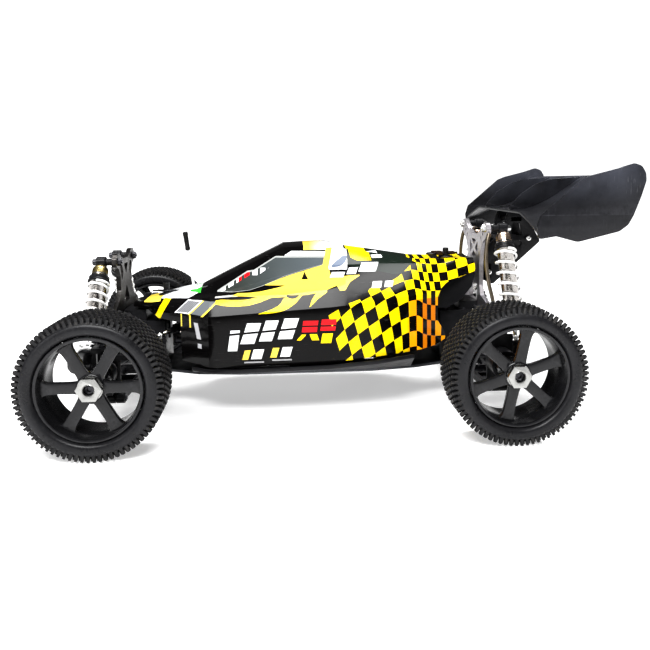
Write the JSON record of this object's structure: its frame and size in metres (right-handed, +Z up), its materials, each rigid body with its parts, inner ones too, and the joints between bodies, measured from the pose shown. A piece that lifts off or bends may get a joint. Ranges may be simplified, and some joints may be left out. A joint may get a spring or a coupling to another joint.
{
  "type": "rc buggy",
  "caption": "Electric four-wheel-drive off-road RC buggy with a painted body shell, oil-damped coil-over suspension, pin-tread tyres and a high rear wing.",
  "frame": {"origin": "on the ground under the middle of the car's bounding box", "axes": "nose towards -X, +Y the car's right-hand side, +Z up"},
  "size_m": [0.4962, 0.304, 0.2205],
  "materials": {
    "black_plastic": "moulded glass-filled nylon, satin",
    "wheel_plastic": "dyed nylon, satin",
    "tyre_rubber": "soft matte rubber with pin tread",
    "shell_paint": "clear polycarbonate painted inside: gloss black with yellow flames and chequers",
    "wing_plastic": "moulded nylon, satin with fine scuffs",
    "chassis_alloy": "hard-anodised dark grey",
    "front_tower_alloy": "anodised gunmetal",
    "rear_tower_alloy": "anodised silver grey",
    "damper_alloy": "bright anodised, warm silver",
    "polished_steel": "bright steel",
    "spring_paint": "white powder coat",
    "dark_steel": "hardened steel",
    "motor_can": "black-anodised motor can",
    "battery_case": "hard plastic case"
  },
  "bodies": {
    "chassis": {"chassis_plate": "chassis_alloy", "side_guard_left": "black_plastic", "side_guard_right": "black_plastic", "front_bumper": "black_plastic", "front_gearbox": "black_plastic", "rear_gearbox": "black_plastic", "front_shock_tower": "front_tower_alloy", "rear_shock_tower": "rear_tower_alloy", "wing_mount": "black_plastic", "rear_wing": "wing_plastic", "antenna": "black_plastic", "motor": "motor_can", "battery": "battery_case", "radio_tray": "black_plastic"},
    "shell": {"body_shell": "shell_paint"},
    "centre_drive": {"centre_drive": "dark_steel"},
    "pinion": {"pinion": "dark_steel"},
    "steering_bellcrank_left": {"steering_bellcrank_left": "black_plastic"},
    "steering_bellcrank_right": {"steering_bellcrank_right": "black_plastic"},
    "drag_link": {"drag_link": "black_plastic"},
    "front_lower_arm_left": {"front_lower_arm_left": "black_plastic"},
    "front_upper_link_left": {"front_upper_link_left": "polished_steel"},
    "front_damper_body_left": {"front_damper_body_left": "damper_alloy", "front_spring_left": "spring_paint"},
    "front_damper_shaft_left": {"front_damper_shaft_left": "polished_steel"},
    "front_drive_shaft_left": {"front_drive_shaft_left": "dark_steel"},
    "front_caster_block_left": {"front_caster_block_left": "black_plastic"},
    "front_steering_knuckle_left": {"front_steering_knuckle_left": "black_plastic"},
    "tie_rod_left": {"tie_rod_left": "polished_steel"},
    "front_wheel_left": {"front_wheel_left": "wheel_plastic", "front_tyre_left": "tyre_rubber"},
    "front_lower_arm_right": {"front_lower_arm_right": "black_plastic"},
    "front_upper_link_right": {"front_upper_link_right": "polished_steel"},
    "front_damper_body_right": {"front_damper_body_right": "damper_alloy", "front_spring_right": "spring_paint"},
    "front_damper_shaft_right": {"front_damper_shaft_right": "polished_steel"},
    "front_drive_shaft_right": {"front_drive_shaft_right": "dark_steel"},
    "front_caster_block_right": {"front_caster_block_right": "black_plastic"},
    "front_steering_knuckle_right": {"front_steering_knuckle_right": "black_plastic"},
    "tie_rod_right": {"tie_rod_right": "polished_steel"},
    "front_wheel_right": {"front_wheel_right": "wheel_plastic", "front_tyre_right": "tyre_rubber"},
    "rear_lower_arm_left": {"rear_lower_arm_left": "black_plastic"},
    "rear_upper_link_left": {"rear_upper_link_left": "polished_steel"},
    "rear_damper_body_left": {"rear_damper_body_left": "damper_alloy", "rear_spring_left": "spring_paint"},
    "rear_damper_shaft_left": {"rear_damper_shaft_left": "polished_steel"},
    "rear_drive_shaft_left": {"rear_drive_shaft_left": "dark_steel"},
    "rear_hub_carrier_left": {"rear_hub_carrier_left": "black_plastic"},
    "rear_wheel_left": {"rear_wheel_left": "wheel_plastic", "rear_tyre_left": "tyre_rubber"},
    "rear_lower_arm_right": {"rear_lower_arm_right": "black_plastic"},
    "rear_upper_link_right": {"rear_upper_link_right": "polished_steel"},
    "rear_damper_body_right": {"rear_damper_body_right": "damper_alloy", "rear_spring_right": "spring_paint"},
    "rear_damper_shaft_right": {"rear_damper_shaft_right": "polished_steel"},
    "rear_drive_shaft_right": {"rear_drive_shaft_right": "dark_steel"},
    "rear_hub_carrier_right": {"rear_hub_carrier_right": "black_plastic"},
    "rear_wheel_right": {"rear_wheel_right": "wheel_plastic", "rear_tyre_right": "tyre_rubber"}
  },
  "joints": [
    {"name": "shell_lift", "type": "slide", "parent": "chassis", "child": "shell", "axis": [-0.1294, 0, 0.9916], "range_m": [0, 0.04]},
    {"name": "drive_line_spin", "type": "hinge", "parent": "chassis", "child": "centre_drive", "pos_m": [-0.0304, 0, 0.058], "axis": [1, 0, 0], "continuous": true},
    {"name": "pinion_spin", "type": "hinge", "parent": "chassis", "child": "pinion", "pos_m": [0.0306, -0.0305, 0.058], "axis": [1, 0, 0], "continuous": true},
    {"name": "steering_bellcrank_left_turn", "type": "hinge", "parent": "chassis", "child": "steering_bellcrank_left", "pos_m": [-0.1224, -0.018, 0.062], "axis": [0, 0, 1], "range_deg": [-33, 33]},
    {"name": "steering_bellcrank_right_turn", "type": "hinge", "parent": "chassis", "child": "steering_bellcrank_right", "pos_m": [-0.1224, 0.018, 0.062], "axis": [0, 0, 1], "range_deg": [-33, 33]},
    {"name": "drag_link_slide", "type": "slide", "parent": "chassis", "child": "drag_link", "axis": [0, 1, 0], "range_m": [-0.0115, 0.0115]},
    {"name": "suspension_front_left", "type": "hinge", "parent": "chassis", "child": "front_lower_arm_left", "pos_m": [-0.1929, -0.031, 0.042], "axis": [-1, 0, 0], "range_deg": [-4, 18], "stiffness_Nm_per_rad": 2.5, "springref_deg": -8.59},
    {"name": "front_caster_block_left_swing", "type": "hinge", "parent": "front_lower_arm_left", "child": "front_caster_block_left", "pos_m": [-0.1929, -0.097, 0.033], "axis": [-1, 0, 0], "range_deg": [-18, 5]},
    {"name": "front_upper_link_left_swing", "type": "hinge", "parent": "chassis", "child": "front_upper_link_left", "pos_m": [-0.1929, -0.042, 0.088], "axis": [-1, 0, 0], "range_deg": [-7, 28]},
    {"name": "front_drive_shaft_left_swing", "type": "hinge", "parent": "chassis", "child": "front_drive_shaft_left", "pos_m": [-0.1804, -0.027, 0.0552], "axis": [-1, 0, 0], "range_deg": [-6, 24]},
    {"name": "front_damper_body_left_swing", "type": "hinge", "parent": "chassis", "child": "front_damper_body_left", "pos_m": [-0.2114, -0.029, 0.136], "axis": [-1, 0, 0], "range_deg": [-4, 4]},
    {"name": "front_damper_shaft_left_slide", "type": "slide", "parent": "front_damper_body_left", "child": "front_damper_shaft_left", "axis": [0, 0.584, 0.8117], "range_m": [-0.006, 0.024], "deforming": ["front_spring_left"]},
    {"name": "front_steering_knuckle_left_turn", "type": "hinge", "parent": "front_caster_block_left", "child": "front_steering_knuckle_left", "pos_m": [-0.1929, -0.107, 0.0552], "axis": [0, 0, 1], "range_deg": [-24, 24]},
    {"name": "tie_rod_left_swing", "type": "hinge", "parent": "drag_link", "child": "tie_rod_left", "pos_m": [-0.1494, -0.012, 0.0718], "axis": [-1, 0, 0], "range_deg": [-4, 18]},
    {"name": "front_wheel_left_spin", "type": "hinge", "parent": "front_steering_knuckle_left", "child": "front_wheel_left", "pos_m": [-0.1929, -0.131, 0.0552], "axis": [0, 1, 0], "continuous": true},
    {"name": "suspension_front_right", "type": "hinge", "parent": "chassis", "child": "front_lower_arm_right", "pos_m": [-0.1929, 0.031, 0.042], "axis": [1, 0, 0], "range_deg": [-4, 18], "stiffness_Nm_per_rad": 2.5, "springref_deg": -8.59},
    {"name": "front_caster_block_right_swing", "type": "hinge", "parent": "front_lower_arm_right", "child": "front_caster_block_right", "pos_m": [-0.1929, 0.097, 0.033], "axis": [1, 0, 0], "range_deg": [-18, 5]},
    {"name": "front_upper_link_right_swing", "type": "hinge", "parent": "chassis", "child": "front_upper_link_right", "pos_m": [-0.1929, 0.042, 0.088], "axis": [1, 0, 0], "range_deg": [-7, 28]},
    {"name": "front_drive_shaft_right_swing", "type": "hinge", "parent": "chassis", "child": "front_drive_shaft_right", "pos_m": [-0.1804, 0.027, 0.0552], "axis": [1, 0, 0], "range_deg": [-6, 24]},
    {"name": "front_damper_body_right_swing", "type": "hinge", "parent": "chassis", "child": "front_damper_body_right", "pos_m": [-0.2114, 0.029, 0.136], "axis": [1, 0, 0], "range_deg": [-4, 4]},
    {"name": "front_damper_shaft_right_slide", "type": "slide", "parent": "front_damper_body_right", "child": "front_damper_shaft_right", "axis": [0, -0.584, 0.8117], "range_m": [-0.006, 0.024], "deforming": ["front_spring_right"]},
    {"name": "steering", "type": "hinge", "parent": "front_caster_block_right", "child": "front_steering_knuckle_right", "pos_m": [-0.1929, 0.107, 0.0552], "axis": [0, 0, 1], "range_deg": [-22, 22]},
    {"name": "tie_rod_right_swing", "type": "hinge", "parent": "drag_link", "child": "tie_rod_right", "pos_m": [-0.1494, 0.012, 0.0718], "axis": [1, 0, 0], "range_deg": [-4, 18]},
    {"name": "front_wheel_right_spin", "type": "hinge", "parent": "front_steering_knuckle_right", "child": "front_wheel_right", "pos_m": [-0.1929, 0.131, 0.0552], "axis": [0, 1, 0], "continuous": true},
    {"name": "suspension_rear_left", "type": "hinge", "parent": "chassis", "child": "rear_lower_arm_left", "pos_m": [0.1321, -0.031, 0.042], "axis": [-1, 0, 0], "range_deg": [-4, 18], "stiffness_Nm_per_rad": 2.5, "springref_deg": -8.59},
    {"name": "rear_hub_carrier_left_swing", "type": "hinge", "parent": "rear_lower_arm_left", "child": "rear_hub_carrier_left", "pos_m": [0.1321, -0.097, 0.033], "axis": [-1, 0, 0], "range_deg": [-18, 5]},
    {"name": "rear_upper_link_left_swing", "type": "hinge", "parent": "chassis", "child": "rear_upper_link_left", "pos_m": [0.1321, -0.042, 0.088], "axis": [-1, 0, 0], "range_deg": [-7, 28]},
    {"name": "rear_drive_shaft_left_swing", "type": "hinge", "parent": "chassis", "child": "rear_drive_shaft_left", "pos_m": [0.1216, -0.027, 0.0552], "axis": [-1, 0, 0], "range_deg": [-6, 24]},
    {"name": "rear_damper_body_left_swing", "type": "hinge", "parent": "chassis", "child": "rear_damper_body_left", "pos_m": [0.1516, -0.038, 0.163], "axis": [-1, 0, 0], "range_deg": [-4, 4]},
    {"name": "rear_damper_shaft_left_slide", "type": "slide", "parent": "rear_damper_body_left", "child": "rear_damper_shaft_left", "axis": [0, 0.4169, 0.9089], "range_m": [-0.006, 0.024], "deforming": ["rear_spring_left"]},
    {"name": "rear_wheel_left_spin", "type": "hinge", "parent": "rear_hub_carrier_left", "child": "rear_wheel_left", "pos_m": [0.1321, -0.131, 0.0552], "axis": [0, 1, 0], "continuous": true},
    {"name": "suspension_rear_right", "type": "hinge", "parent": "chassis", "child": "rear_lower_arm_right", "pos_m": [0.1321, 0.031, 0.042], "axis": [1, 0, 0], "range_deg": [-4, 18], "stiffness_Nm_per_rad": 2.5, "springref_deg": -8.59},
    {"name": "rear_hub_carrier_right_swing", "type": "hinge", "parent": "rear_lower_arm_right", "child": "rear_hub_carrier_right", "pos_m": [0.1321, 0.097, 0.033], "axis": [1, 0, 0], "range_deg": [-18, 5]},
    {"name": "rear_upper_link_right_swing", "type": "hinge", "parent": "chassis", "child": "rear_upper_link_right", "pos_m": [0.1321, 0.042, 0.088], "axis": [1, 0, 0], "range_deg": [-7, 28]},
    {"name": "rear_drive_shaft_right_swing", "type": "hinge", "parent": "chassis", "child": "rear_drive_shaft_right", "pos_m": [0.1216, 0.027, 0.0552], "axis": [1, 0, 0], "range_deg": [-6, 24]},
    {"name": "rear_damper_body_right_swing", "type": "hinge", "parent": "chassis", "child": "rear_damper_body_right", "pos_m": [0.1516, 0.038, 0.163], "axis": [1, 0, 0], "range_deg": [-4, 4]},
    {"name": "rear_damper_shaft_right_slide", "type": "slide", "parent": "rear_damper_body_right", "child": "rear_damper_shaft_right", "axis": [0, -0.4169, 0.9089], "range_m": [-0.006, 0.024], "deforming": ["rear_spring_right"]},
    {"name": "rear_wheel_right_spin", "type": "hinge", "parent": "rear_hub_carrier_right", "child": "rear_wheel_right", "pos_m": [0.1321, 0.131, 0.0552], "axis": [0, 1, 0], "continuous": true}
  ],
  "couplings": [
    {"joint": "pinion_spin", "follows": "drive_line_spin", "ratio": -3.0667},
    {"joint": "steering_bellcrank_left_turn", "follows": "steering", "ratio": -1.441},
    {"joint": "steering_bellcrank_right_turn", "follows": "steering", "ratio": -1.441},
    {"joint": "drag_link_slide", "follows": "steering", "m_per_rad": 0.02781},
    {"joint": "front_caster_block_left_swing", "follows": "suspension_front_left", "ratio": -0.881},
    {"joint": "front_upper_link_left_swing", "follows": "suspension_front_left", "ratio": 1.275},
    {"joint": "front_drive_shaft_left_swing", "follows": "suspension_front_left", "ratio": 0.992},
    {"joint": "front_damper_body_left_swing", "follows": "suspension_front_left", "ratio": 0.193},
    {"joint": "front_damper_shaft_left_slide", "follows": "suspension_front_left", "m_per_rad": 0.05514},
    {"joint": "front_steering_knuckle_left_turn", "follows": "steering", "ratio": 1},
    {"joint": "tie_rod_left_swing", "follows": "suspension_front_left", "ratio": 0.738},
    {"joint": "front_caster_block_right_swing", "follows": "suspension_front_right", "ratio": -0.881},
    {"joint": "front_upper_link_right_swing", "follows": "suspension_front_right", "ratio": 1.275},
    {"joint": "front_drive_shaft_right_swing", "follows": "suspension_front_right", "ratio": 0.992},
    {"joint": "front_damper_body_right_swing", "follows": "suspension_front_right", "ratio": 0.193},
    {"joint": "front_damper_shaft_right_slide", "follows": "suspension_front_right", "m_per_rad": 0.05514},
    {"joint": "tie_rod_right_swing", "follows": "suspension_front_right", "ratio": 0.738},
    {"joint": "rear_hub_carrier_left_swing", "follows": "suspension_rear_left", "ratio": -0.881},
    {"joint": "rear_upper_link_left_swing", "follows": "suspension_rear_left", "ratio": 1.275},
    {"joint": "rear_drive_shaft_left_swing", "follows": "suspension_rear_left", "ratio": 0.992},
    {"joint": "rear_damper_body_left_swing", "follows": "suspension_rear_left", "ratio": 0.056},
    {"joint": "rear_damper_shaft_left_slide", "follows": "suspension_rear_left", "m_per_rad": 0.05772},
    {"joint": "rear_hub_carrier_right_swing", "follows": "suspension_rear_right", "ratio": -0.881},
    {"joint": "rear_upper_link_right_swing", "follows": "suspension_rear_right", "ratio": 1.275},
    {"joint": "rear_drive_shaft_right_swing", "follows": "suspension_rear_right", "ratio": 0.992},
    {"joint": "rear_damper_body_right_swing", "follows": "suspension_rear_right", "ratio": 0.056},
    {"joint": "rear_damper_shaft_right_slide", "follows": "suspension_rear_right", "m_per_rad": 0.05772}
  ]
}
